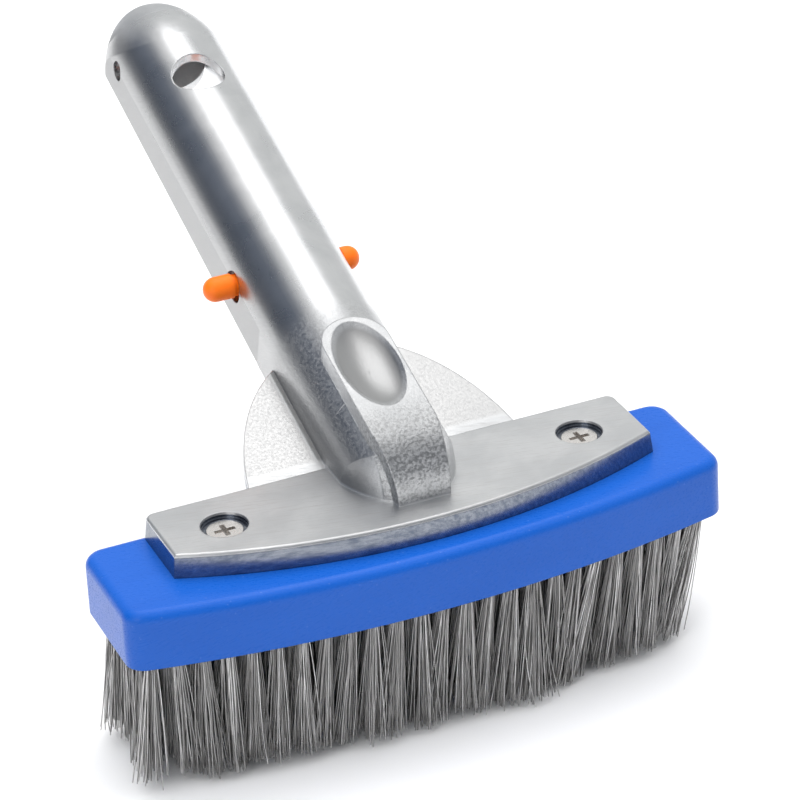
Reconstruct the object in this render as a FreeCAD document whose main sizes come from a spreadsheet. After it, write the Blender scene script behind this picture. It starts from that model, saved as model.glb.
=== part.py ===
"""Pool wall brush: a die-cast aluminium handle on a bowed plastic block with steel wire bristles.

Row frame, in millimetres: +X runs along the brush, +Y away from the brush towards the end of the
spigot, +Z out of the back of the brush.  The origin is on the axis of the spigot, level with the
snap buttons, which is where a pole's own cross holes sit when the brush is fitted.

The spigot leans up out of the brush by handle_lean.  Its parts are built level, with the spigot's
axis along +Y and its open side down, and are then turned about X by that angle.
"""
import FreeCAD, Part
import math
import os

import Sketcher
from FreeCAD import Placement, Rotation, Vector

os.makedirs("parts", exist_ok=True)
doc = FreeCAD.newDocument("pool_wall_brush")

# Driving dimensions, in millimetres and degrees.
DIMENSIONS = {
    # spigot and how it stands on the plate
    "handle_lean": 18.7,
    "button_station": 63.4,      # from where the spigot's axis meets the plate's top, to the buttons
    "axis_foot": 7.9,            # that meeting point, in front of the plate's back edge
    "tube_radius": 13.2,
    "wall": 2.4,
    "flat_inset": 0.05,          # what grinding the two sides takes off the round
    "flat_start": 16.5,          # the ground sides begin this far before the buttons
    "rim_drop": 8.65,            # depth of the open side's rim below the axis, at the buttons
    "rim_taper": 1.4,
    "cavity_start": 49.0,        # the hollow begins this far before the buttons
    # nose of the spigot
    "nose_centre": 69.9,
    "nose_drop": 4.6,
    "nose_length": 26.3,
    "nose_half_width": 15.3,
    "nose_overlap": 0.02,        # keeps the rounded end just clear of the round top
    "nose_web_centre": 82.6,
    "nose_web_radius": 11.5,
    "nose_web_top": 4.6,
    "hang_hole_station": 56.8,
    "hang_hole_radius": 6.2,
    "cross_hole_station": 75.6,
    "cross_hole_rise": 1.0,
    "cross_hole_radius": 2.4,
    "button_hole_radius": 3.7,
    "button_hole_shift": 0.5,
    # base of the spigot, its web and its thumb rib
    "base_half_width": 14.2,
    "base_reach": 23.5,
    "base_height": 16.5,
    "base_trim": 2.5,            # the base starts this far behind the block's back edge
    "web_half_width": 32.8,
    "web_reach": 50.3,
    "web_centre": 71.3,
    "web_drop": 2.7,
    "web_thickness": 2.7,
    "rib_half_width": 7.7,
    "rib_foot_half_width": 5.9,
    "rib_top": 15.0,
    "rib_head_centre": 38.8,
    "rib_front_radius": 14.8,
    "rib_front_centre": 64.4,
    "rib_front_rise": 0.2,
    "thumb_centre": 45.6,
    "thumb_half_width": 7.0,
    "thumb_half_length": 13.2,
    "thumb_depth": 2.2,
    "thumb_round": 5.0,
    # plate
    "plate_length": 111.8,       # along its underside; its draft narrows it above
    "plate_end_depth": 19.9,
    "plate_bulge": 11.7,
    "plate_thickness": 5.3,
    "plate_corner": 2.2,
    "plate_draft": 6.0,
    "plate_edge_round": 0.8,
    "screw_pitch": 83.1,
    "screw_inset": 12.7,
    "counterbore_radius": 5.2,
    "counterbore_depth": 1.3,
    "clearance_radius": 2.3,
    # screws
    "head_radius": 4.0,
    "head_cone": 1.9,
    "shank_radius": 1.95,
    "screw_length": 10.0,
    "screw_point": 3.0,
    "point_radius": 0.3,
    "thread_room": 0.05,         # between the screw and the hole it has cut
    "cross_width": 1.1,
    "cross_span": 4.6,
    "cross_depth": 1.4,
    # block
    "block_length": 138.1,       # along its top; its draft widens it below
    "block_end_depth": 30.1,
    "block_overhang": 0.5,       # behind the plate
    "block_shift": 1.0,          # the block sits this much to the left of the handle
    "block_bulge": 8.2,
    "block_height": 13.4,
    "block_corner": 4.6,
    "block_draft": 0.5,
    "block_edge_round": 2.4,
    # bristles
    "tuft_pitch": 5.32,
    "tuft_columns": 25,
    "tuft_rows": 6,
    "tuft_inset": 4.0,
    "tuft_depth": 6.4,
    "tuft_root_radius": 1.45,
    "tuft_tip_radius": 1.7,
    "tuft_length": 29.4,
    "tuft_hole_radius": 1.5,
    "anchor_height": 1.6,
    "anchor_thickness": 0.4,
    "anchor_width": 2.7,
    # snap-button clip
    "clip_shift": 1.15,
    "clip_half_width": 9.0,
    "clip_thickness": 2.0,
    "clip_depth": 7.0,
    "clip_bend_station": 37.1,
    "clip_hinge_gap": 0.3,
    "leg_tail": 4.5,
    "button_radius": 2.85,
    "button_reach": 18.95,
    "neck_radius": 2.5,          # of the button inside the spigot
    "neck_over": 0.2,            # how far outside the spigot the neck ends
}


def make_sheet():
    """Put the driving dimensions in a spreadsheet, one alias each."""
    sheet_object = doc.addObject("Spreadsheet::Sheet", "Sheet")
    for row, (alias, value) in enumerate(DIMENSIONS.items(), start=1):
        sheet_object.set("A%d" % row, alias)
        sheet_object.set("B%d" % row, str(value))
        sheet_object.setAlias("B%d" % row, alias)
    doc.recompute()
    return sheet_object


sheet = make_sheet()


def dim(alias):
    """A driving dimension as a plain number."""
    return float(getattr(sheet, alias))


# Places that follow from the driving dimensions, as expressions on the sheet.
PLATE_TOP = "(-Sheet.button_station * sin(Sheet.handle_lean))"
BLOCK_TOP = "(-Sheet.button_station * sin(Sheet.handle_lean) - Sheet.plate_thickness)"
BACK_EDGE = "(Sheet.axis_foot - Sheet.button_station * cos(Sheet.handle_lean))"
SCREW_LINE = "(" + BACK_EDGE + " - Sheet.screw_inset)"
SCREW_SEAT = "(" + PLATE_TOP + " - Sheet.counterbore_depth)"

lean = math.radians(dim("handle_lean"))
plate_top = -dim("button_station") * math.sin(lean)
block_top = plate_top - dim("plate_thickness")
block_bottom = block_top - dim("block_height")
back_edge = dim("axis_foot") - dim("button_station") * math.cos(lean)

# Cutting tools reach this far past what they cut.
FAR = 120.0
HANDLE_TURN = Rotation(Vector(1, 0, 0), dim("handle_lean"))
Y_AXIS_TURN = Rotation(Vector(1, 0, 0), -90)
X_AXIS_TURN = Rotation(Vector(0, 1, 0), 90)


def bind(obj, **expressions):
    """Bind properties to expressions; __ in a name stands for a dot."""
    for name, expression in expressions.items():
        obj.setExpression(name.replace("__", "."), str(expression))
    return obj


def put(obj, x="0", y="0", z="0", turn=Rotation()):
    """Place an object by expressions on the sheet."""
    obj.Placement = Placement(Vector(0, 0, 0), turn)
    bind(obj, Placement__Base__x=x, Placement__Base__y=y, Placement__Base__z=z)
    return obj


def box(name, x, y, z):
    """A box; x, y and z are (low, high) pairs of expressions."""
    obj = doc.addObject("Part::Box", name)
    bind(obj, Length="(%s) - (%s)" % (x[1], x[0]),
         Width="(%s) - (%s)" % (y[1], y[0]),
         Height="(%s) - (%s)" % (z[1], z[0]))
    return put(obj, x[0], y[0], z[0])


def cylinder(name, radius, height, x="0", y="0", z="0", turn=Rotation()):
    """A cylinder along +Z before its turn."""
    obj = doc.addObject("Part::Cylinder", name)
    bind(obj, Radius=radius, Height=height)
    return put(obj, x, y, z, turn)


def cone(name, radius_low, radius_high, height, x="0", y="0", z="0"):
    """A cone along +Z."""
    obj = doc.addObject("Part::Cone", name)
    bind(obj, Radius1=radius_low, Radius2=radius_high, Height=height)
    return put(obj, x, y, z)


def ellipsoid(name, half_x, half_y, half_z, x="0", y="0", z="0"):
    """A whole ellipsoid with its half axes along X, Y and Z."""
    obj = doc.addObject("Part::Ellipsoid", name)
    bind(obj, Radius1=half_z, Radius2=half_x, Radius3=half_y)
    obj.Angle1 = -90
    obj.Angle2 = 90
    obj.Angle3 = 360
    return put(obj, x, y, z)


def fuse(name, *shapes):
    """The union of several solids."""
    obj = doc.addObject("Part::MultiFuse", name)
    obj.Shapes = list(shapes)
    obj.Refine = True
    return obj


def common(name, *shapes):
    """What several solids share."""
    obj = doc.addObject("Part::MultiCommon", name)
    obj.Shapes = list(shapes)
    obj.Refine = True
    return obj


def cut(name, base, *tools):
    """A solid with tools taken out of it, one after another."""
    for count, tool in enumerate(tools, start=1):
        last = count == len(tools)
        obj = doc.addObject("Part::Cut", name if last else "%s_step%d" % (name, count))
        obj.Base = base
        obj.Tool = tool
        obj.Refine = True
        base = obj
    return base


def arch(name, radius, start, end, depth):
    """A round-topped bar along Y: a cylinder with straight sides going down from its middle."""
    length = "(%s) - (%s)" % (end, start)
    round_top = cylinder(name + "_round", radius, length, y=start, turn=Y_AXIS_TURN)
    sides = box(name + "_sides", ("-(%s)" % radius, radius), (start, end), ("-(%s)" % depth, "0"))
    return fuse(name, round_top, sides)


def origin_plane(body, role):
    """One of a body's own origin planes, by its role."""
    for feature in body.Origin.OriginFeatures:
        if feature.Role == role:
            return feature
    raise ValueError(role)


def bowed_outline(body, name, length, end_depth, bulge):
    """A sketch on XY: straight back edge on Y = 0, straight ends, and a front edge bowed outwards."""
    sketch = body.newObject("Sketcher::SketchObject", name)
    sketch.AttachmentSupport = (origin_plane(body, "XY_Plane"), [""])
    sketch.MapMode = "FlatFace"
    half = dim(length) / 2.0
    depth = dim(end_depth)
    back_left = Vector(-half, 0, 0)
    back_right = Vector(half, 0, 0)
    front_left = Vector(-half, -depth, 0)
    front_right = Vector(half, -depth, 0)
    front_middle = Vector(0, -depth - dim(bulge), 0)
    back = sketch.addGeometry(Part.LineSegment(back_left, back_right))
    right = sketch.addGeometry(Part.LineSegment(back_right, front_right))
    left = sketch.addGeometry(Part.LineSegment(front_left, back_left))
    front = sketch.addGeometry(Part.Arc(front_left, front_middle, front_right))
    crown = sketch.addGeometry(Part.Point(front_middle))
    joined = [(back, 2, right, 1), (left, 2, back, 1), (right, 2, front, 2), (front, 1, left, 1)]
    for first, first_end, second, second_end in joined:
        sketch.addConstraint(Sketcher.Constraint("Coincident", first, first_end, second, second_end))
    sketch.addConstraint(Sketcher.Constraint("PointOnObject", back, 1, -1))
    sketch.addConstraint(Sketcher.Constraint("Symmetric", back, 1, back, 2, -1, 1))
    sketch.addConstraint(Sketcher.Constraint("Vertical", left))
    sketch.addConstraint(Sketcher.Constraint("Vertical", right))
    sketch.addConstraint(Sketcher.Constraint("PointOnObject", crown, 1, front))
    sketch.addConstraint(Sketcher.Constraint("PointOnObject", crown, 1, -2))
    sketch.addConstraint(Sketcher.Constraint("Equal", left, right))
    sizes = [
        ("length", Sketcher.Constraint("Distance", back, 2 * half), "Sheet." + length),
        ("end_depth", Sketcher.Constraint("Distance", right, depth), "Sheet." + end_depth),
        ("reach", Sketcher.Constraint("DistanceY", crown, 1, -1, 1, depth + dim(bulge)),
         "Sheet.%s + Sheet.%s" % (end_depth, bulge)),
    ]
    for label, constraint, expression in sizes:
        index = sketch.addConstraint(constraint)
        sketch.renameConstraint(index, label)
        sketch.setExpression("Constraints." + label, expression)
    return sketch


def edges_where(shape, test):
    """The names of a shape's edges for which test(edge) holds."""
    return ["Edge%d" % number for number, edge in enumerate(shape.Edges, start=1) if test(edge)]


def upright_at_corner(edge, half_length, y_limits):
    """Whether an edge stands up at one of the outline's four corners."""
    ends = [vertex.Point for vertex in edge.Vertexes]
    if len(ends) != 2 or abs(ends[0].z - ends[1].z) < 1.0:
        return False
    near_end = abs(abs(ends[0].x) - half_length) < 1.5
    return near_end and y_limits[0] < ends[0].y < y_limits[1]


def all_at_height(edge, height):
    """Whether the whole edge lies at one height."""
    return all(abs(vertex.Point.z - height) < 1e-4 for vertex in edge.Vertexes)


def fillet(body, name, base, edges, radius):
    """Round some edges of a body's last feature."""
    feature = body.newObject("PartDesign::Fillet", name)
    feature.Base = (base, edges)
    feature.setExpression("Radius", radius)
    body.Tip = feature
    doc.recompute()
    return feature


def pad(body, name, sketch, length, reverse=False, taper=None):
    """Pad a sketch along Z."""
    feature = body.newObject("PartDesign::Pad", name)
    feature.Profile = sketch
    feature.Reversed = reverse
    feature.setExpression("Length", length)
    if taper:
        feature.setExpression("TaperAngle", taper)
    sketch.Visibility = False
    doc.recompute()
    return feature


# --- casting -----------------------------------------------------------------------------------

def plate_blank():
    """The bowed plate, before its screw holes."""
    body = doc.addObject("PartDesign::Body", "plate_blank")
    outline = bowed_outline(body, "plate_outline", "plate_length", "plate_end_depth", "plate_bulge")
    slab = pad(body, "plate_slab", outline, "Sheet.plate_thickness", taper="-Sheet.plate_draft")
    half = dim("plate_length") / 2.0
    corners = edges_where(slab.Shape, lambda edge: upright_at_corner(edge, half, (-1.0, 1.0)))
    rounded = fillet(body, "plate_corners", slab, corners, "Sheet.plate_corner")
    top = dim("plate_thickness")
    rim = edges_where(rounded.Shape, lambda edge: all_at_height(edge, top))
    fillet(body, "plate_edge", rounded, rim, "Sheet.plate_edge_round")
    return put(body, y=BACK_EDGE, z=BLOCK_TOP)


def screw_seat(name, x):
    """Counterbore, countersink and clearance hole for one screw, as one cutting tool."""
    recess = cylinder(name + "_recess", "Sheet.counterbore_radius", "Sheet.plate_thickness",
                      x, SCREW_LINE, SCREW_SEAT)
    sink = cone(name + "_sink", "Sheet.shank_radius + Sheet.thread_room",
                "Sheet.head_radius + Sheet.thread_room",
                "Sheet.head_cone", x, SCREW_LINE, SCREW_SEAT + " - Sheet.head_cone")
    hole = cylinder(name + "_hole", "Sheet.clearance_radius", "2 * Sheet.plate_thickness",
                    x, SCREW_LINE, BLOCK_TOP + " - Sheet.plate_thickness")
    return fuse(name, recess, sink, hole)


def below_rim():
    """Everything under the rim of the spigot's open side, as a cutting tool."""
    tool = box("below_rim", ("0", 2 * FAR), ("0", 2 * FAR), ("0", FAR))
    tool.Placement = Placement(Vector(0, 0, 0), Rotation(Vector(1, 0, 0), dim("rim_taper")))
    turn_cos = "cos(Sheet.rim_taper)"
    turn_sin = "sin(Sheet.rim_taper)"
    return bind(
        tool,
        Placement__Base__x=-FAR,
        Placement__Base__y="%g * (%s - %s)" % (FAR, turn_sin, turn_cos),
        Placement__Base__z="-Sheet.rim_drop - %g * (%s + %s)" % (FAR, turn_sin, turn_cos),
        Placement__Rotation__Angle="Sheet.rim_taper",
    )


def rounded_bar(name, radius, half_width, length, height, start):
    """An arch from start to past the nose, closed there by the nose's rounded end."""
    bar = arch(name + "_arch", radius, start, "Sheet.nose_centre + 2 * Sheet.nose_length",
               "3 * Sheet.tube_radius")
    straight = box(name + "_straight", (-FAR, FAR), (start, "Sheet.nose_centre"), (-FAR, FAR))
    dome = ellipsoid(name + "_dome", half_width, length, height + " + Sheet.nose_overlap",
                     y="Sheet.nose_centre", z="-Sheet.nose_drop")
    return common(name, bar, fuse(name + "_bound", straight, dome))


def spigot_outside():
    """The spigot's outer form, level, with its two sides ground flat."""
    bar = rounded_bar("spigot_bar", "Sheet.tube_radius", "Sheet.nose_half_width",
                      "Sheet.nose_length", "Sheet.tube_radius + Sheet.nose_drop", -FAR)
    flat = "Sheet.tube_radius - Sheet.flat_inset"
    grinders = [
        box("grind_right", (flat, FAR), ("-Sheet.flat_start", FAR), (-FAR, FAR)),
        box("grind_left", (-FAR, "-(%s)" % flat), ("-Sheet.flat_start", FAR), (-FAR, FAR)),
    ]
    return cut("spigot_outside", bar, below_rim(), *grinders)


def spigot_hollow():
    """The hollow of the spigot, level and open below, stopping short of the web under its nose."""
    hollow = rounded_bar("hollow_bar", "Sheet.tube_radius - Sheet.wall",
                         "Sheet.nose_half_width - Sheet.wall", "Sheet.nose_length - Sheet.wall",
                         "Sheet.tube_radius + Sheet.nose_drop - Sheet.wall", "-Sheet.cavity_start")
    deep = "4 * Sheet.tube_radius"
    low = "-Sheet.nose_web_top - %s" % deep
    web_front = cylinder("nose_web_front", "Sheet.nose_web_radius", deep,
                         y="Sheet.nose_web_centre", z=low)
    web_rest = box("nose_web_rest", (-FAR, FAR), ("Sheet.nose_web_centre", FAR),
                   (low, "-Sheet.nose_web_top"))
    return cut("spigot_hollow", hollow, web_front, web_rest)


def side_hole(name, radius, station, rise="0"):
    """A hole straight through both side walls of the spigot, as a cutting tool."""
    return cylinder(name, radius, 2 * FAR, x=-FAR, y=station, z=rise, turn=X_AXIS_TURN)


def base_dome():
    """What bounds the spigot over the plate: a half ellipsoid in front, nothing behind."""
    dome = ellipsoid("base_dome", "Sheet.base_half_width", "Sheet.base_reach", "Sheet.base_height",
                     y=BACK_EDGE, z=PLATE_TOP)
    behind = box("behind_plate", (-FAR, FAR), (BACK_EDGE, 2 * FAR), (-FAR, FAR))
    return fuse("base_bound", dome, behind)


def block_room():
    """The space that the block takes, and a little behind it, as a cutting tool."""
    return box("block_room", (-FAR, FAR), (-2 * FAR, BACK_EDGE + " + Sheet.base_trim"), (-FAR, BLOCK_TOP))


def level_ellipse_plate():
    """The oval web beside the spigot's base, level, before it is trimmed at the plate."""
    outline = doc.addObject("Part::Ellipse", "web_outline")
    bind(outline, MajorRadius="Sheet.web_reach", MinorRadius="Sheet.web_half_width")
    put(outline, y="-Sheet.web_centre", z="-Sheet.web_drop - Sheet.web_thickness",
        turn=Rotation(Vector(0, 0, 1), 90))
    slab = doc.addObject("Part::Extrusion", "web_slab")
    slab.Base = outline
    slab.DirMode = "Custom"
    slab.Dir = Vector(0, 0, 1)
    slab.Solid = True
    return bind(slab, LengthFwd="Sheet.web_thickness")


def thumb_rib():
    """The rib on top of the spigot's base: a bar with a round head, a rounded foot and a thumb hollow."""
    width = ("-Sheet.rib_half_width", "Sheet.rib_half_width")
    front = cylinder("rib_front", "Sheet.rib_front_radius", "4 * Sheet.rib_half_width",
                     x="-2 * Sheet.rib_half_width", y="-Sheet.rib_front_centre",
                     z="Sheet.rib_front_rise", turn=X_AXIS_TURN)
    bar = box("rib_bar", width, ("-Sheet.rib_front_centre", "0"), ("0", "Sheet.rib_top"))
    side = fuse("rib_side", front, bar)
    head = cylinder("rib_head", "Sheet.rib_half_width", "2 * Sheet.rib_top",
                    y="-Sheet.rib_head_centre")
    shank = box("rib_shank", width, ("-Sheet.rib_front_centre", "-Sheet.rib_head_centre"),
                ("0", "2 * Sheet.rib_top"))
    foot = doc.addObject("Part::Wedge", "rib_foot")
    bind(foot,
         Xmin="-Sheet.rib_foot_half_width", Xmax="Sheet.rib_foot_half_width",
         X2min="-Sheet.rib_half_width", X2max="Sheet.rib_half_width",
         Ymin="-Sheet.rib_front_radius", Ymax="0",
         Zmin="0", Zmax="2 * Sheet.rib_top", Z2min="0", Z2max="2 * Sheet.rib_top")
    put(foot, y="-Sheet.rib_front_centre")
    plan = fuse("rib_plan", foot, shank, head)
    blank = common("rib_blank", side, plan)
    above = "(Sheet.thumb_round - Sheet.thumb_depth)"
    spread = "sqrt(1 - (%s / Sheet.thumb_round) ^ 2)" % above
    thumb = ellipsoid("thumb", "Sheet.thumb_half_width / " + spread,
                      "Sheet.thumb_half_length / " + spread, "Sheet.thumb_round",
                      y="-Sheet.thumb_centre", z="Sheet.rib_top + " + above)
    return blank, thumb


def lean_over(obj):
    """Turn a level part of the handle about X to the spigot's lean."""
    obj.Placement = Placement(Vector(0, 0, 0), HANDLE_TURN)
    obj.setExpression("Placement.Rotation.Angle", "Sheet.handle_lean")
    return obj


def handle_casting():
    """Plate, spigot, oval web and thumb rib in one casting."""
    rib, thumb = thumb_rib()
    spigot = common("spigot_trimmed", lean_over(spigot_outside()), base_dome())
    slab = lean_over(level_ellipse_plate())
    web_bound = box("web_bound", (-FAR, FAR), (BACK_EDGE + " - 1", FAR), (-FAR, FAR))
    web = common("web", slab, web_bound)
    solid = fuse("casting_solid", plate_blank(), spigot, web, lean_over(rib))
    hollows = fuse(
        "handle_hollows",
        spigot_hollow(),
        thumb,
        cylinder("hang_hole", "Sheet.hang_hole_radius", FAR, y="Sheet.hang_hole_station"),
        side_hole("cross_hole", "Sheet.cross_hole_radius", "Sheet.cross_hole_station",
                  "Sheet.cross_hole_rise"),
        side_hole("button_holes", "Sheet.button_hole_radius", "-Sheet.button_hole_shift"),
    )
    tools = [
        block_room(),
        lean_over(hollows),
        screw_seat("screw_seat_left", "-Sheet.screw_pitch / 2"),
        screw_seat("screw_seat_right", "Sheet.screw_pitch / 2"),
    ]
    return cut("handle_casting", solid, *tools)


# --- block, screws and bristles ------------------------------------------------------------------

def block_blank():
    """The bowed plastic block, before its holes: its sides widen downwards by the mould's draft."""
    body = doc.addObject("PartDesign::Body", "block_blank")
    outline = bowed_outline(body, "block_outline", "block_length", "block_end_depth", "block_bulge")
    slab = pad(body, "block_slab", outline, "Sheet.block_height", reverse=True,
               taper="Sheet.block_draft")
    half = dim("block_length") / 2.0
    depth = dim("block_end_depth")
    corners = edges_where(slab.Shape, lambda edge: upright_at_corner(edge, half, (-depth - 2.0, 2.0)))
    rounded = fillet(body, "block_corners", slab, corners, "Sheet.block_corner")
    rim = edges_where(rounded.Shape, lambda edge: all_at_height(edge, 0.0))
    fillet(body, "block_edge", rounded, rim, "Sheet.block_edge_round")
    return put(body, x="-Sheet.block_shift", y=BACK_EDGE + " + Sheet.block_overhang", z=BLOCK_TOP)


def front_of_block(x):
    """How far in front of its back edge the block reaches at x."""
    half = dim("block_length") / 2.0
    bulge = dim("block_bulge")
    radius = (half ** 2 + bulge ** 2) / (2.0 * bulge)
    return dim("block_end_depth") + bulge - radius + math.sqrt(radius ** 2 - x ** 2)


def tuft_places(row):
    """Where one row's tufts stand: straight at the back of the block, bowed like it at the front."""
    columns = int(dim("tuft_columns"))
    inset = dim("tuft_inset")
    share = row / (dim("tuft_rows") - 1.0)
    for column in range(columns):
        x = (column - (columns - 1) / 2.0) * dim("tuft_pitch")
        reach = inset + share * (front_of_block(x) - 2.0 * inset)
        yield Vector(x - dim("block_shift"), back_edge + dim("block_overhang") - reach, block_bottom)


def copies(name, solid, places):
    """One object holding a copy of a solid, drawn about the origin, at each place."""
    obj = doc.addObject("Part::Feature", name)
    obj.Shape = Part.Compound([solid.translated(place) for place in places])
    return obj


def tuft_solid():
    """One tuft: straight in its hole, spreading towards its tips."""
    root = dim("tuft_root_radius")
    sunk = dim("tuft_depth") - dim("anchor_height")
    held = Part.makeCylinder(root, sunk, Vector(0, 0, 0))
    free = Part.makeCone(dim("tuft_tip_radius"), root, dim("tuft_length"),
                         Vector(0, 0, -dim("tuft_length")))
    return held.fuse(free).removeSplitter()


def anchor_solid():
    """The flat wire anchor at the bottom of a tuft's hole."""
    width = dim("anchor_width")
    thickness = dim("anchor_thickness")
    corner = Vector(-width / 2.0, -thickness / 2.0, dim("tuft_depth") - dim("anchor_height"))
    return Part.makeBox(width, thickness, dim("anchor_height"), corner)


def bristles():
    """The rows of tufts and of their anchors, and the holes that they stand in."""
    drills = []
    made = []
    drill = Part.makeCylinder(dim("tuft_hole_radius"), dim("tuft_depth"))
    for row in range(int(dim("tuft_rows"))):
        places = list(tuft_places(row))
        drills += [drill.translated(place) for place in places]
        made.append(copies("bristle_row_%d" % (row + 1), tuft_solid(), places))
        made.append(copies("anchor_row_%d" % (row + 1), anchor_solid(), places))
    tool = doc.addObject("Part::Feature", "tuft_holes")
    tool.Shape = Part.Compound(drills)
    return made, tool


def pilot_hole(name, x):
    """The hole that a screw has cut for itself in the block."""
    return cylinder(name, "Sheet.shank_radius + Sheet.thread_room", "Sheet.screw_length",
                    x, SCREW_LINE, SCREW_SEAT + " - Sheet.screw_length - Sheet.thread_room")


def block(tuft_holes):
    """The block with its tuft holes and the two screws' holes."""
    return cut("brush_block", block_blank(), tuft_holes,
               pilot_hole("pilot_left", "-Sheet.screw_pitch / 2"),
               pilot_hole("pilot_right", "Sheet.screw_pitch / 2"))


def screw(name, x):
    """A countersunk self-tapping screw with a cross recess and a pointed end."""
    y = SCREW_LINE
    head = cone(name + "_head", "Sheet.shank_radius", "Sheet.head_radius", "Sheet.head_cone",
                x, y, SCREW_SEAT + " - Sheet.head_cone")
    shank = cylinder(name + "_shank", "Sheet.shank_radius",
                     "Sheet.screw_length - Sheet.head_cone - Sheet.screw_point",
                     x, y, SCREW_SEAT + " - Sheet.screw_length + Sheet.screw_point")
    point = cone(name + "_point", "Sheet.point_radius", "Sheet.shank_radius", "Sheet.screw_point",
                 x, y, SCREW_SEAT + " - Sheet.screw_length")
    blank = fuse(name + "_blank", head, shank, point)
    deep = (SCREW_SEAT + " - Sheet.cross_depth", PLATE_TOP)
    along = box(name + "_cross_x", around(x, "Sheet.cross_span"), around(y, "Sheet.cross_width"), deep)
    across = box(name + "_cross_y", around(x, "Sheet.cross_width"), around(y, "Sheet.cross_span"), deep)
    return cut(name, blank, fuse(name + "_recess", along, across))


def around(middle, width):
    """The (low, high) pair of expressions for a width about a middle."""
    return "%s - %s / 2" % (middle, width), "%s + %s / 2" % (middle, width)


# --- snap-button clip ------------------------------------------------------------------------------

def clip_bridge():
    """The bend of the clip: half a flat ring between the two hinges, on the nose side of them."""
    outer = cylinder("bridge_outer", "Sheet.clip_half_width", "Sheet.clip_depth",
                     y="Sheet.clip_bend_station", z="-Sheet.clip_depth / 2")
    inner = cylinder("bridge_inner", "Sheet.clip_half_width - Sheet.clip_thickness", "Sheet.clip_depth",
                     y="Sheet.clip_bend_station", z="-Sheet.clip_depth / 2")
    ring = cut("bridge_ring", outer, inner)
    start = "Sheet.clip_bend_station + Sheet.clip_thickness / 2 + Sheet.clip_hinge_gap"
    ahead = box("bridge_side", (-FAR, FAR), (start, FAR), (-FAR, FAR))
    return lie_in_spigot(common("clip_bridge", ring, ahead))


def lie_in_spigot(obj):
    """Lean a piece of the clip with the spigot, a little to the left of its axis."""
    return bind(lean_over(obj), Placement__Base__x="-Sheet.clip_shift")


def clip_leg(name, side):
    """One leg: a flat arm with a round hinge end and a round-ended button; side is -1 left, 1 right."""
    middle = "Sheet.clip_half_width - Sheet.clip_thickness / 2"
    place = "%d * (%s)" % (side, middle)
    inner = "%d * (Sheet.clip_half_width - Sheet.clip_thickness)" % side
    outer = "%d * Sheet.clip_half_width" % side
    low_x, high_x = (outer, inner) if side < 0 else (inner, outer)
    half_depth = "Sheet.clip_depth / 2"
    arm = box(name + "_arm", (low_x, high_x), ("-Sheet.leg_tail", "Sheet.clip_bend_station"),
              ("-" + half_depth, half_depth))
    hinge = cylinder(name + "_hinge", "Sheet.clip_thickness / 2", "Sheet.clip_depth",
                     x=place, y="Sheet.clip_bend_station", z="-" + half_depth)
    tail = cylinder(name + "_tail", "Sheet.clip_thickness / 2", "Sheet.clip_depth",
                    x=place, y="-Sheet.leg_tail", z="-" + half_depth)
    reach = "Sheet.button_reach - Sheet.button_radius"
    neck_end = "Sheet.tube_radius + Sheet.neck_over + %d * Sheet.clip_shift" % side
    neck = button_length(name + "_neck", "Sheet.neck_radius", middle, neck_end, side)
    stem = button_length(name + "_stem", "Sheet.button_radius", neck_end, reach, side)
    tip = doc.addObject("Part::Sphere", name + "_tip")
    bind(tip, Radius="Sheet.button_radius")
    put(tip, x="%d * (%s)" % (side, reach))
    return lie_in_spigot(fuse(name, arm, hinge, tail, neck, stem, tip))


def button_length(name, radius, start, end, side):
    """A length of a button along X, from start to end on its own side."""
    low = start if side > 0 else "-(%s)" % end
    return cylinder(name, radius, "(%s) - (%s)" % (end, start), x=low, turn=X_AXIS_TURN)


def finish(objects):
    """Stop if anything failed, then write each sub-part under its own name."""
    doc.recompute()
    for obj in doc.Objects:
        if "Invalid" in obj.State or "Error" in obj.State:
            raise RuntimeError(obj.Name + " failed")
    for obj in objects:
        obj.Label = obj.Name
        if obj.Shape.isNull() or not obj.Shape.isValid():
            raise RuntimeError(obj.Label + " has no valid shape")
        obj.Shape.exportStep("parts/%s.step" % obj.Label)
        print(obj.Label, len(obj.Shape.Solids), "solids", round(obj.Shape.Volume, 1), "mm3")


rows, tuft_holes = bristles()
finish([
    handle_casting(),
    block(tuft_holes),
    screw("screw_left", "-Sheet.screw_pitch / 2"),
    screw("screw_right", "Sheet.screw_pitch / 2"),
    clip_bridge(),
    clip_leg("clip_leg_left", -1),
    clip_leg("clip_leg_right", 1),
] + rows)
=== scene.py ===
"""Looks of the pool wall brush: materials, wire bristles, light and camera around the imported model."""
import math
import random

import bpy
from mathutils import Matrix, Vector


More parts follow.
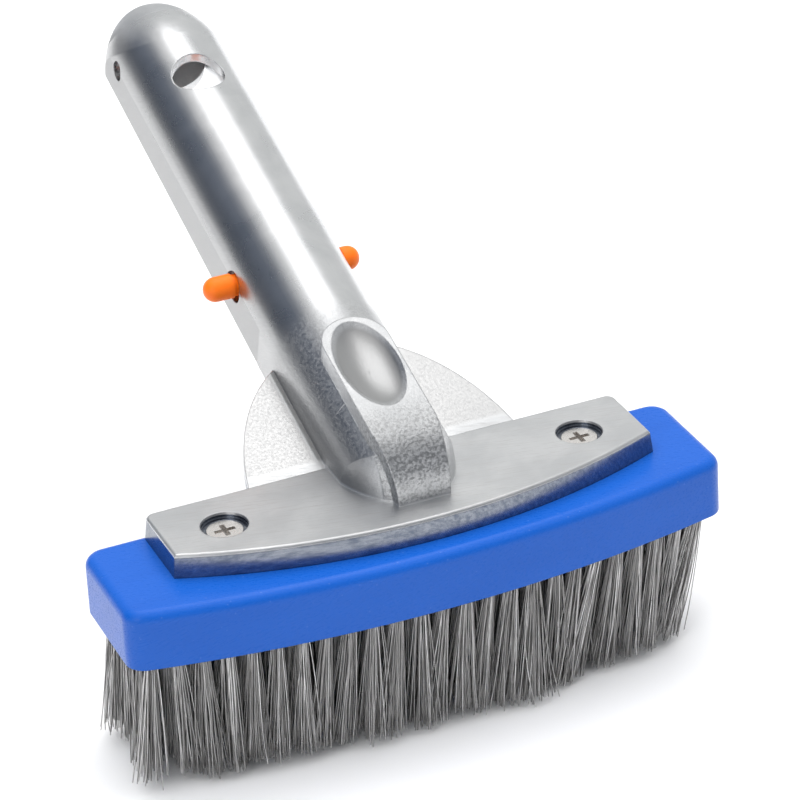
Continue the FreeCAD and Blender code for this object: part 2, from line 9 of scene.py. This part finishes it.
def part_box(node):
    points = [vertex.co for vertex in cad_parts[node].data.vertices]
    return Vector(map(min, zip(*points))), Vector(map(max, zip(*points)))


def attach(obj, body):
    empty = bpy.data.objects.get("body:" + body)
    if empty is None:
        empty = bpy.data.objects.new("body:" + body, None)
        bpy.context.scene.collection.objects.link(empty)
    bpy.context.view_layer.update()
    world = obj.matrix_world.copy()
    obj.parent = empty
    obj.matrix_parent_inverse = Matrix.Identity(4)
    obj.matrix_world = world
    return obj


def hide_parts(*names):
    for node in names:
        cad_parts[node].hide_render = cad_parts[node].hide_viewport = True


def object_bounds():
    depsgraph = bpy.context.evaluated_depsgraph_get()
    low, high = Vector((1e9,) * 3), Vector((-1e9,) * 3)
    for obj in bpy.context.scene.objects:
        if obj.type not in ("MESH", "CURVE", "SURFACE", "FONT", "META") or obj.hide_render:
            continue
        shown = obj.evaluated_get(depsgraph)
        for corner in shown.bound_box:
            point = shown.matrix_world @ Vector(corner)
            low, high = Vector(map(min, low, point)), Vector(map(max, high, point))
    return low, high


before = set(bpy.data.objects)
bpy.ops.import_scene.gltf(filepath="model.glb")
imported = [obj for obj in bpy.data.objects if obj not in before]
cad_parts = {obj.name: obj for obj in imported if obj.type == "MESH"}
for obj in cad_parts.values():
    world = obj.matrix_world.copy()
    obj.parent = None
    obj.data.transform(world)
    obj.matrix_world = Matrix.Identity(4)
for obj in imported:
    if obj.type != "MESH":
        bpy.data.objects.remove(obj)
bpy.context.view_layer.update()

MM = 0.001
SEED = 11

# Camera: where it looks from and at, in degrees and metres.
VIEW_AZIMUTH = 21.85
VIEW_ELEVATION = 28.94
VIEW_ROLL = -3.3
VIEW_DISTANCE = 0.805
VIEW_AIM = Vector((0.0125, -0.0335, -0.020))
LENS_MM = 162.6
SENSOR_MM = 36.0

# The spigot leans up out of the brush by this much; its surface detail follows it.
HANDLE_LEAN = math.radians(18.7)

# Tufts of the bristles, in millimetres. A lean is sideways travel for each millimetre down.
TUFT_ROWS = 6
TUFT_PITCH = 5.32            # along a row
TUFT_RADIUS = 1.3
TUFT_LENGTH = 30.0
TUFT_LENGTH_SPREAD = 0.8
TUFT_LEAN_ALONG = -0.09      # in the middle of the brush
TUFT_FAN = 1.4               # more lean for each metre from the middle
TUFT_LEAN_ALONG_SPREAD = 0.04
TUFT_LEAN_ACROSS = 0.02
TUFT_LEAN_ACROSS_SPREAD = 0.03
TUFT_SPLAY = (0.02, 0.06)
TUFT_TOP_BAND = 0.1          # a tuft's upper end is the vertices this near its top

# Wires in a tuft, in millimetres.
WIRES_PER_TUFT = 56
WIRE_RADIUS = 0.14
WIRE_STEPS = 7
WIRE_SIDES = 3
WIRE_SUNK = 1.5
WIRE_SHORTFALL = 0.8
WIRE_WANDER = 0.028
WIRE_BOW = 0.6
WIRE_RIPPLE = 0.25
RIPPLE_TURN = 7.0            # radians along a wire
RIPPLE_SIDE = 1.6            # radians from the wire's own direction
STRAY = 2.4                  # how much more a stray wire wanders
STRAY_SHARE = 0.03

# Soft edges of the casting's finishes and of its painted shade and reflection: each pair is the two ends of
# an edge, in millimetres.
# "Along" and "out" follow the leaning spigot. "Height" is the brush's own. "Side" is from the middle plane.
SPIGOT_ALONG = (-22.0, -17.0)
OVER_PLATE_HEIGHT = (-20.1, -19.6)
BASE_ALONG = (-28.0, -22.0)
GROUND_SIDE = (13.10, 13.15)
GROUND_ALONG = (-17.0, -16.3)
THUMB_CENTRE = 45.6          # from the snap buttons, towards the brush
THUMB_HALF_WIDTH = 6.6
THUMB_HALF_LENGTH = 12.6
THUMB_EDGE = (0.75, 1.0)     # share of the hollow's size
THUMB_OUT = (12.0, 12.8)
WEB_SIDE = (14.3, 14.6)
FOOT_SIDE = (7.7, 8.0)
FOOT_ALONG = (-55.0, -64.0)
PLATE_TOP_HEIGHT = (-20.2, -19.8)
PLATE_TOP_LOWER = (-21.2, -20.8)
PLATE_SIDE_UPPER = (-21.0, -20.9)
PLATE_SIDE_LOWER = (-25.8, -25.7)
PLATE_SIDE_ALONG = (-35.0, -45.0)
HOLLOW_RADIUS = (10.9, 11.3)
HOLLOW_ALONG = (-49.5, -48.5)
# The left flank's pair of edges bounds a painted shade on the spigot's left side.
LEFT_FLANK_SHADE_X = (-8.0, -11.5)
LEFT_FLANK_SHADE_SIDE = (14.3, 14.0)

# The painted shade in a screw's recess: how far under the head's top it is fully dark, and where it starts
# to be.
RECESS_DARK = 2.0
RECESS_START = 1.1

FLOOR_GAP = 0.5              # millimetres under the lowest wire
FLOOR_HALF = 6.0             # metres
LIGHTS_AIM = (0, 0, -0.02)

# The room: its grey, and patches of other brightness by direction, cosines of start and stop, and colour.
ROOM_GREY = (0.46, 0.47, 0.49, 1)
ROOM_PATCHES = [
    ((0.55, 0.65, 0.45), 0.60, 0.95, (0.70, 0.71, 0.71, 1)),
    ((0.0, 0.2, 1.0), 0.75, 0.98, (0.80, 0.80, 0.80, 1)),
    ((-0.74, 0.46, 0.50), 0.80, 0.97, (0.10, 0.12, 0.16, 1)),
    ((0.2, -0.75, 0.62), 0.80, 0.97, (0.22, 0.23, 0.25, 1)),
]

# Soft lights: name, place in metres, size in metres and power in watts.
LIGHTS = [
    ("overhead", (0.16, 0.36, 1.10), (0.62, 0.80), 1.9),
    ("left_front", (-0.90, -0.75, 0.55), (0.60, 0.60), 2.0),
]
# A broad fill that lights the floor and the plastics, but doesn't show in the metal.
FILL = ("fill", (0.0, 0.0, 1.6), (2.4, 2.4), 44.0)


# --- shader building -------------------------------------------------------------------------------

class Shader:
    """A material under construction, with short ways to add and join nodes."""

    def __init__(self, name, **surface):
        self.material = bpy.data.materials.new(name)
        self.material.use_nodes = True
        self.tree = self.material.node_tree
        self.surface = self.tree.nodes["Principled BSDF"]
        for socket, value in surface.items():
            self.feed(self.surface, socket.replace("_", " "), value)

    def feed(self, node, socket, value):
        """Set a socket to a value, or link it to another node's output."""
        target = node.inputs[socket]
        if isinstance(value, bpy.types.NodeSocket):
            self.tree.links.new(value, target)
        else:
            target.default_value = value

    def add(self, kind, settings=None, **inputs):
        """Add a node; inputs are by socket name, with _ for a space."""
        node = self.tree.nodes.new(kind)
        for name, value in (settings or {}).items():
            setattr(node, name, value)
        for socket, value in inputs.items():
            self.feed(node, socket.replace("_", " "), value)
        return node

    def coordinates(self, lean=0.0):
        """Object coordinates in millimetres, turned level with a part that leans about X."""
        place = self.add("ShaderNodeTexCoord").outputs["Object"]
        turned = self.add("ShaderNodeMapping", Vector=place, Rotation=(-lean, 0, 0),
                          Scale=(1 / MM, 1 / MM, 1 / MM))
        return turned.outputs["Vector"]

    def stretch(self, vector, scale, turn=(0, 0, 0)):
        """Coordinates turned and then scaled unevenly, for streaks and scratches."""
        turned = self.add("ShaderNodeMapping", Vector=vector, Rotation=turn)
        return self.add("ShaderNodeMapping", Vector=turned.outputs[0], Scale=scale).outputs[0]

    def noise(self, vector, scale, detail=3.0, roughness=0.5, distortion=0.0):
        """Noise between 0 and 1; scale is in cells per millimetre."""
        return self.add("ShaderNodeTexNoise", Vector=vector, Scale=scale, Detail=detail,
                        Roughness=roughness, Distortion=distortion).outputs["Fac"]

    def pits(self, vector, scale):
        """Distance to the nearest of some scattered points."""
        return self.add("ShaderNodeTexVoronoi", Vector=vector, Scale=scale).outputs["Distance"]

    def math(self, operation, first, second=0.0):
        """One Math node."""
        node = self.add("ShaderNodeMath", {"operation": operation})
        self.feed(node, 0, first)
        self.feed(node, 1, second)
        return node.outputs[0]

    def span(self, value, low, high, to_low=0.0, to_high=1.0):
        """Map a value from one range to another, clamped and smooth."""
        node = self.add("ShaderNodeMapRange", {"interpolation_type": "SMOOTHSTEP"}, Value=value,
                        From_Min=low, From_Max=high, To_Min=to_low, To_Max=to_high)
        return node.outputs[0]

    def mix(self, share, first, second):
        """Mix two colours."""
        node = self.add("ShaderNodeMix", {"data_type": "RGBA"})
        self.feed(node, 0, share)
        self.feed(node, 6, first)
        self.feed(node, 7, second)
        return node.outputs[2]

    def blend(self, share, first, second):
        """Mix two numbers."""
        node = self.add("ShaderNodeMix", {"data_type": "FLOAT"})
        self.feed(node, 0, share)
        self.feed(node, 2, first)
        self.feed(node, 3, second)
        return node.outputs[0]

    def axes(self, vector):
        """The three parts of a vector."""
        return self.add("ShaderNodeSeparateXYZ", Vector=vector).outputs

    def bump(self, height, depth, soft_edge=0.0):
        """A bump of a real depth in millimetres, over softened edges if asked."""
        node = self.add("ShaderNodeBump", Height=height, Distance=depth * MM, Strength=1.0)
        if soft_edge:
            bevel = self.add("ShaderNodeBevel", {"samples": 6}, Radius=soft_edge * MM)
            self.feed(node, "Normal", bevel.outputs[0])
        self.feed(self.surface, "Normal", node.outputs[0])


def grey(value, warm=0.0):
    """A grey, a little warmer or cooler."""
    return value * (1 + warm), value, value * (1 - warm), 1.0


# --- materials -------------------------------------------------------------------------------------

def cast_aluminium():
    """Die-cast aluminium: smooth spigot with ground sides, grainy base, satin plate, with painted shade on
    the spigot's left flank and in the thumb hollow and a painted dark blue-grey reflection on the plate's
    side.
    """
    s = Shader("cast_aluminium", Metallic=1.0)
    row = s.coordinates()
    level = s.coordinates(HANDLE_LEAN)
    x, along, out = s.axes(level)
    height = s.axes(row)[2]
    side = s.math("ABSOLUTE", x)

    cloud = s.noise(level, 0.09, 4.0, 0.55, 0.4)
    grain = s.noise(level, 1.5, 5.0, 0.60)
    fine_grain = s.noise(level, 3.6, 3.0, 0.6)
    edge_wander = s.math("MULTIPLY", s.noise(level, 0.25, 2.0), 8.0)

    # Where each finish, and each painted shade or reflection, lies.
    on_spigot = s.span(s.math("ADD", along, edge_wander), *SPIGOT_ALONG)
    over_plate = s.span(height, *OVER_PLATE_HEIGHT)
    near_base = s.math("MULTIPLY", s.span(along, *BASE_ALONG, 1.0, 0.0), over_plate)
    ground = s.math("MULTIPLY", s.span(side, *GROUND_SIDE), s.span(along, *GROUND_ALONG))
    thumb_x = s.math("DIVIDE", side, THUMB_HALF_WIDTH)
    thumb_y = s.math("ABSOLUTE", s.math("DIVIDE", s.math("ADD", along, THUMB_CENTRE), THUMB_HALF_LENGTH))
    from_thumb = s.math("ADD", s.math("POWER", thumb_x, 2.0), s.math("POWER", thumb_y, 2.0))
    in_thumb = s.math("MULTIPLY", s.span(from_thumb, *THUMB_EDGE, 1.0, 0.0), s.span(out, *THUMB_OUT))
    on_web = s.span(side, *WEB_SIDE)
    on_foot = s.math("MULTIPLY", s.span(side, *FOOT_SIDE, 1.0, 0.0), s.span(along, *FOOT_ALONG))
    rough_cast = s.math("MULTIPLY", near_base, s.math("SUBTRACT", 1.0, s.math("MULTIPLY", in_thumb, 0.8)))
    coarse = s.math("MULTIPLY", rough_cast, s.math("ADD", 0.25, s.math("MULTIPLY", on_foot, 0.75)))
    flat_plate = s.math("MULTIPLY", s.span(height, *PLATE_TOP_HEIGHT, 1.0, 0.0),
                        s.span(height, *PLATE_TOP_LOWER))
    plate_front = s.math("MULTIPLY", s.span(height, *PLATE_SIDE_LOWER), s.span(along, *PLATE_SIDE_ALONG))
    plate_side = s.math("MULTIPLY", s.span(height, *PLATE_SIDE_UPPER, 1.0, 0.0), plate_front)
    from_axis = s.math("SQRT", s.math("ADD", s.math("MULTIPLY", x, x), s.math("MULTIPLY", out, out)))
    inside = s.math("MULTIPLY", s.span(from_axis, *HOLLOW_RADIUS, 1.0, 0.0), s.span(along, *HOLLOW_ALONG))
    # Mask of the painted shade on the spigot's left flank.
    left_flank_shade = s.math("MULTIPLY", s.span(x, *LEFT_FLANK_SHADE_X), s.span(side, *LEFT_FLANK_SHADE_SIDE))
    left_flank_shade = s.math("MULTIPLY", left_flank_shade, over_plate)

    # Grinding marks run slantwise on the sides; the spigot is drawn lengthwise; the plate crosswise.
    grind_lines = s.noise(s.stretch(level, (1.0, 0.25, 3.2), (math.radians(38), 0, 0)), 1.0, 4.0, 0.7)
    long_lines = s.noise(s.stretch(level, (2.4, 0.06, 2.4)), 1.0, 4.0, 0.7)
    plate_lines = s.noise(s.stretch(row, (0.16, 3.0, 1.0), (0, 0, math.radians(12))), 1.0, 4.0, 0.7)

    roughness = s.blend(cloud, 0.24, 0.32)
    roughness = s.blend(flat_plate, roughness, s.span(plate_lines, 0.3, 0.7, 0.34, 0.46))
    roughness = s.blend(rough_cast, roughness, s.span(grain, 0.35, 0.65, 0.30, 0.46))
    roughness = s.blend(ground, roughness, s.span(grind_lines, 0.3, 0.7, 0.36, 0.52))
    roughness = s.blend(plate_side, roughness, 0.22)
    roughness = s.blend(inside, roughness, s.span(grain, 0.35, 0.65, 0.50, 0.65))
    s.feed(s.surface, "Roughness", roughness)

    tone = s.mix(s.span(cloud, 0.3, 0.7), grey(0.70, -0.012), grey(0.80, -0.006))
    tone = s.mix(s.math("MULTIPLY", s.span(long_lines, 0.60, 0.8), 0.35), tone, grey(0.56, -0.01))
    tone = s.mix(s.math("MULTIPLY", coarse, s.span(grain, 0.60, 0.36)), tone, grey(0.42, -0.01))
    tone = s.mix(s.math("MULTIPLY", rough_cast, s.span(fine_grain, 0.56, 0.36, 0.0, 0.30)), tone, grey(0.50))
    tone = s.mix(s.math("MULTIPLY", ground, 0.8), tone, s.mix(grind_lines, grey(0.56), grey(0.84)))
    tone = s.mix(s.math("MULTIPLY", flat_plate, s.span(plate_lines, 0.5, 0.75)), tone, grey(0.66, 0.01))
    # Painted reflection and shade: the plate's side is coloured dark blue-grey for the blue block and dark
    # zones it mirrors, streaked by the plate lines.
    tone = s.mix(s.math("MULTIPLY", plate_side, s.span(plate_lines, 0.3, 0.7, 0.75, 1.0)), tone,
                 (0.13, 0.15, 0.19, 1))
    # Painted shade: the thumb hollow's colour is darkened.
    tone = s.mix(s.math("MULTIPLY", in_thumb, 0.85), tone, grey(0.42))
    tone = s.mix(s.math("MULTIPLY", s.math("MULTIPLY", on_web, near_base), 0.6), tone, grey(0.66, 0.01))
    # Painted shade: the spigot's left flank is darkened, with the grinding lines kept in it.
    tone = s.mix(s.math("MULTIPLY", left_flank_shade, 0.8), tone, s.mix(grind_lines, grey(0.30), grey(0.46)))
    s.feed(s.surface, "Base Color", tone)

    relief = s.math("MULTIPLY", grain, s.math("ADD", 0.03, s.math("MULTIPLY", coarse, 0.9)))
    fine = s.math("MULTIPLY", rough_cast, s.span(on_web, 0.0, 1.0, 0.22, 0.10))
    relief = s.math("ADD", relief, s.math("MULTIPLY", fine_grain, s.math("ADD", 0.01, fine)))
    relief = s.math("ADD", relief, s.math("MULTIPLY", long_lines, s.math("MULTIPLY", on_spigot, 0.03)))
    relief = s.math("ADD", relief, s.math("MULTIPLY", grind_lines, s.math("MULTIPLY", ground, 0.18)))
    relief = s.math("ADD", relief, s.math("MULTIPLY", plate_lines, s.math("MULTIPLY", flat_plate, 0.10)))
    s.bump(relief, 0.16, 0.45)
    return s.material


def blue_plastic():
    """Glossy moulded plastic with faint flow marks, fine scuffs and dust."""
    s = Shader("blue_plastic", Specular_IOR_Level=0.22, Coat_Weight=0.08, Coat_Roughness=0.12)
    row = s.coordinates()
    flow = s.noise(s.stretch(row, (0.03, 0.12, 0.12)), 1.0, 3.0, 0.5, 0.6)
    scuffs = s.noise(s.stretch(row, (0.25, 2.5, 2.5), (0.3, 0.2, 0.4)), 1.0, 4.0, 0.65)
    dust = s.span(s.pits(row, 0.42), 0.05, 0.10, 1.0, 0.0)
    tone = s.mix(flow, (0.006, 0.092, 0.46, 1), (0.010, 0.112, 0.53, 1))
    tone = s.mix(s.math("MULTIPLY", dust, 0.16), tone, (0.26, 0.40, 0.80, 1))
    s.feed(s.surface, "Base Color", tone)
    s.feed(s.surface, "Roughness", s.span(scuffs, 0.35, 0.75, 0.26, 0.38))
    skin = s.math("ADD", s.math("MULTIPLY", scuffs, 0.15), s.math("MULTIPLY", s.noise(row, 1.2, 2.0), 0.2))
    s.bump(skin, 0.05, 0.5)
    return s.material


def orange_plastic():
    """Bright orange moulded plastic, slightly cloudy and scuffed."""
    s = Shader("orange_plastic", Specular_IOR_Level=0.3, Subsurface_Weight=0.08,
               Subsurface_Radius=(0.002, 0.0007, 0.0003))
    row = s.coordinates()
    cloud = s.noise(row, 0.5, 3.0)
    specks = s.noise(row, 4.0, 3.0, 0.6)
    tone = s.mix(cloud, (1.0, 0.16, 0.008, 1), (1.0, 0.22, 0.014, 1))
    s.feed(s.surface, "Base Color", s.mix(s.span(specks, 0.66, 0.78), tone, (0.80, 0.11, 0.01, 1)))
    s.feed(s.surface, "Roughness", s.span(specks, 0.3, 0.7, 0.30, 0.42))
    s.bump(s.math("ADD", s.math("MULTIPLY", specks, 0.4), cloud), 0.03)
    return s.material


def stainless_screw():
    """Bright stainless steel, turned rings on the head and painted shade in the recess."""
    s = Shader("stainless_screw", Metallic=1.0)
    row = s.coordinates()
    x, y, z = s.axes(row)
    low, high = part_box("screw_left")
    from_middle = abs(low[0] + high[0]) / 2 / MM
    head_top = high[2] / MM
    centre_x = s.math("SUBTRACT", s.math("ABSOLUTE", x), from_middle)
    centre_y = s.math("SUBTRACT", y, (low[1] + high[1]) / 2 / MM)
    ring = s.math("SQRT", s.math("ADD", s.math("MULTIPLY", centre_x, centre_x),
                                 s.math("MULTIPLY", centre_y, centre_y)))
    rings = s.math("SINE", s.math("MULTIPLY", ring, 26.0))
    mottle = s.noise(row, 1.4, 4.0, 0.6)
    # Painted shade: the recess below the head's top is darkened.
    recess_shade = s.span(z, head_top - RECESS_DARK, head_top - RECESS_START)
    tone = s.mix(mottle, grey(0.80, 0.05), grey(0.95, 0.03))
    s.feed(s.surface, "Base Color", s.mix(recess_shade, grey(0.14, 0.06), tone))
    s.feed(s.surface, "Roughness", s.blend(mottle, 0.20, 0.36))
    s.bump(s.math("ADD", s.math("MULTIPLY", rings, 0.1), mottle), 0.02, 0.15)
    return s.material


def steel_wire(name, dark, bright):
    """Fine drawn wire: each wire has its own tone, with small bright and dull stretches along it."""
    s = Shader(name, Metallic=1.0)
    row = s.coordinates()
    own = s.add("ShaderNodeNewGeometry").outputs["Random Per Island"]
    stretch = s.noise(s.stretch(row, (1.2, 1.2, 0.22)), 1.0, 3.0, 0.6)
    share = s.math("MULTIPLY", s.math("POWER", own, 1.6), s.span(stretch, 0.3, 0.7, 0.5, 1.2))
    s.feed(s.surface, "Base Color", s.mix(share, grey(dark, 0.02), grey(bright, 0.01)))
    s.feed(s.surface, "Roughness", s.span(stretch, 0.3, 0.7, 0.30, 0.48))
    return s.material


def pale_floor():
    """Plain pale floor."""
    s = Shader("pale_floor", Roughness=0.9)
    place = s.add("ShaderNodeTexCoord").outputs["Object"]
    s.feed(s.surface, "Base Color", s.mix(s.noise(place, 3.0), grey(0.90), grey(0.92)))
    return s.material


def dress(node, material):
    """Give a CAD node its material."""
    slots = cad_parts[node].material_slots
    for slot in slots:
        slot.link = "OBJECT"
        slot.material = material


# --- bristles --------------------------------------------------------------------------------------

def tuft_roots(node):
    """Where each tuft of a row leaves the block: the middle of the tuft's upper end, on the underside."""
    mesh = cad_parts[node].data
    top = max(vertex.co.z for vertex in mesh.vertices)
    groups = {}
    for vertex in mesh.vertices:
        if vertex.co.z > top - TUFT_TOP_BAND * MM:
            groups.setdefault(round(vertex.co.x / (TUFT_PITCH * MM)), []).append(vertex.co)
    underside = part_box("brush_block")[0][2]
    roots = []
    for key in sorted(groups):
        x = sum(point.x for point in groups[key]) / len(groups[key])
        y = sum(point.y for point in groups[key]) / len(groups[key])
        roots.append(Vector((x, y, underside)))
    return roots


def wire_path(root, tuft, pick):
    """The middle line of one wire, from inside the block to its cut end."""
    angle = pick.uniform(0, 2 * math.pi)
    spread = TUFT_RADIUS * math.sqrt(pick.random())
    offset = Vector((math.cos(angle), math.sin(angle), 0)) * spread
    stray = STRAY if pick.random() < STRAY_SHARE else 1.0
    wander = Vector((pick.gauss(0, WIRE_WANDER), pick.gauss(0, WIRE_WANDER), 0)) * stray
    lean = tuft["lean"] + offset * tuft["splay"] + wander
    bow = Vector((pick.gauss(0, WIRE_BOW), pick.gauss(0, WIRE_BOW), 0)) * stray
    wave = pick.uniform(0, 2 * math.pi)
    wave_size = pick.uniform(0.0, WIRE_RIPPLE)
    length = tuft["length"] - abs(pick.gauss(0, WIRE_SHORTFALL))
    ripple_way = Vector((math.cos(angle + RIPPLE_SIDE), math.sin(angle + RIPPLE_SIDE), 0))
    points = []
    for step in range(WIRE_STEPS + 1):
        t = step / WIRE_STEPS
        down = -WIRE_SUNK + (length + WIRE_SUNK) * t
        sideways = offset + lean * max(down, 0.0) + bow * (4 * t * (1 - t)) * 0.5
        ripple = wave_size * math.sin(wave + RIPPLE_TURN * t) * t
        sideways += ripple_way * ripple
        points.append(root + Vector((sideways.x, sideways.y, -down)) * MM)
    return points


def add_wire(vertices, faces, points):
    """Add a wire along a line of points, closed at both ends."""
    first = len(vertices)
    for point in points:
        for corner in range(WIRE_SIDES):
            angle = 2 * math.pi * corner / WIRE_SIDES
            around = Vector((math.cos(angle), math.sin(angle), 0)) * WIRE_RADIUS * MM
            vertices.append(point + around)
    for step in range(len(points) - 1):
        for corner in range(WIRE_SIDES):
            near = first + step * WIRE_SIDES + corner
            beside = first + step * WIRE_SIDES + (corner + 1) % WIRE_SIDES
            faces.append((near, beside, beside + WIRE_SIDES, near + WIRE_SIDES))
    last = first + (len(points) - 1) * WIRE_SIDES
    faces.append(tuple(reversed(range(first, first + WIRE_SIDES))))
    faces.append(tuple(range(last, last + WIRE_SIDES)))


def wire_row(number, material):
    """One row of wire tufts in place of its plain CAD solids."""
    node = "bristle_row_%d" % number
    pick = random.Random(SEED + number)
    vertices = []
    faces = []
    for root in tuft_roots(node):
        tuft = {
            "lean": Vector((pick.gauss(TUFT_LEAN_ALONG - TUFT_FAN * root.x, TUFT_LEAN_ALONG_SPREAD),
                            pick.gauss(TUFT_LEAN_ACROSS, TUFT_LEAN_ACROSS_SPREAD), 0)),
            "splay": pick.uniform(*TUFT_SPLAY),
            "length": TUFT_LENGTH + pick.gauss(0, TUFT_LENGTH_SPREAD),
        }
        for _ in range(WIRES_PER_TUFT):
            add_wire(vertices, faces, wire_path(root, tuft, pick))
    mesh = bpy.data.meshes.new("wires_row_%d" % number)
    mesh.from_pydata(vertices, [], faces)
    mesh.materials.append(material)
    for polygon in mesh.polygons:
        polygon.use_smooth = len(polygon.vertices) == 4
    piece = bpy.data.objects.new("wires_row_%d" % number, mesh)
    bpy.context.scene.collection.objects.link(piece)
    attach(piece, "handle")
    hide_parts(node)


# --- stage -----------------------------------------------------------------------------------------

def area_light(name, place, aim, size, power):
    """A soft rectangular light that faces its aim."""
    light = bpy.data.lights.new(name, "AREA")
    light.shape = "RECTANGLE"
    light.size, light.size_y = size
    light.energy = power
    lamp = bpy.data.objects.new(name, light)
    lamp.location = place
    lamp.rotation_euler = (Vector(aim) - Vector(place)).to_track_quat("-Z", "Y").to_euler()
    bpy.context.scene.collection.objects.link(lamp)
    return lamp


def toward(tree, direction, start, stop):
    """How nearly a ray points in a direction: 0 below the cosine start, 1 above stop."""
    place = tree.nodes.new("ShaderNodeTexCoord")
    dot = tree.nodes.new("ShaderNodeVectorMath")
    dot.operation = "DOT_PRODUCT"
    dot.inputs[1].default_value = Vector(direction).normalized()
    span = tree.nodes.new("ShaderNodeMapRange")
    span.interpolation_type = "SMOOTHSTEP"
    span.inputs["From Min"].default_value = start
    span.inputs["From Max"].default_value = stop
    tree.links.new(place.outputs["Generated"], dot.inputs[0])
    tree.links.new(dot.outputs["Value"], span.inputs["Value"])
    return span.outputs[0]


def set_world():
    """Soft room light: grey all round, with the paler and darker patches of ROOM_PATCHES."""
    world = bpy.data.worlds.new("studio")
    bpy.context.scene.world = world
    world.use_nodes = True
    tree = world.node_tree
    colour = ROOM_GREY
    for direction, start, stop, patch in ROOM_PATCHES:
        mix = tree.nodes.new("ShaderNodeMix")
        mix.data_type = "RGBA"
        tree.links.new(toward(tree, direction, start, stop), mix.inputs[0])
        if isinstance(colour, tuple):
            mix.inputs[6].default_value = colour
        else:
            tree.links.new(colour, mix.inputs[6])
        mix.inputs[7].default_value = patch
        colour = mix.outputs[2]
    tree.links.new(colour, tree.nodes["Background"].inputs["Color"])


def set_stage():
    """Floor just under the bristles' tips, and the lights."""
    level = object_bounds()[0][2] - FLOOR_GAP * MM
    half = FLOOR_HALF
    mesh = bpy.data.meshes.new("floor")
    corners = [(-half, -half, level), (half, -half, level), (half, half, level), (-half, half, level)]
    mesh.from_pydata(corners, [], [(0, 1, 2, 3)])
    mesh.materials.append(pale_floor())
    floor = bpy.data.objects.new("floor", mesh)
    bpy.context.scene.collection.objects.link(floor)
    set_world()
    for name, place, size, power in LIGHTS:
        area_light(name, place, LIGHTS_AIM, size, power)
    name, place, size, power = FILL
    area_light(name, place, (0, 0, 0), size, power).visible_glossy = False


def set_camera():
    """The camera, from its angles, distance and aim."""
    azimuth = math.radians(VIEW_AZIMUTH)
    elevation = math.radians(VIEW_ELEVATION)
    roll = math.radians(VIEW_ROLL)
    forward = Vector((math.sin(azimuth) * math.cos(elevation),
                      math.cos(azimuth) * math.cos(elevation),
                      -math.sin(elevation)))
    level_right = forward.cross(Vector((0, 0, 1))).normalized()
    level_up = level_right.cross(forward)
    right = level_right * math.cos(roll) + level_up * math.sin(roll)
    up = level_up * math.cos(roll) - level_right * math.sin(roll)
    lens = bpy.data.cameras.new("camera")
    lens.lens = LENS_MM
    lens.sensor_width = SENSOR_MM
    camera = bpy.data.objects.new("camera", lens)
    turn = Matrix((right, up, -forward)).transposed().to_4x4()
    camera.matrix_world = Matrix.Translation(VIEW_AIM - forward * VIEW_DISTANCE) @ turn
    bpy.context.scene.collection.objects.link(camera)
    bpy.context.scene.camera = camera


# --- build -----------------------------------------------------------------------------------------

aluminium = cast_aluminium()
orange = orange_plastic()
screw_steel = stainless_screw()
wire = steel_wire("steel_wire", 0.26, 0.95)
anchor_wire = steel_wire("anchor_wire", 0.45, 0.70)

dress("handle_casting", aluminium)
dress("brush_block", blue_plastic())
for side in ("left", "right"):
    dress("screw_" + side, screw_steel)
    dress("clip_leg_" + side, orange)
dress("clip_bridge", orange)
for row_number in range(1, TUFT_ROWS + 1):
    dress("anchor_row_%d" % row_number, anchor_wire)
    wire_row(row_number, wire)

bpy.context.scene.view_settings.view_transform = "Standard"
set_stage()
set_camera()
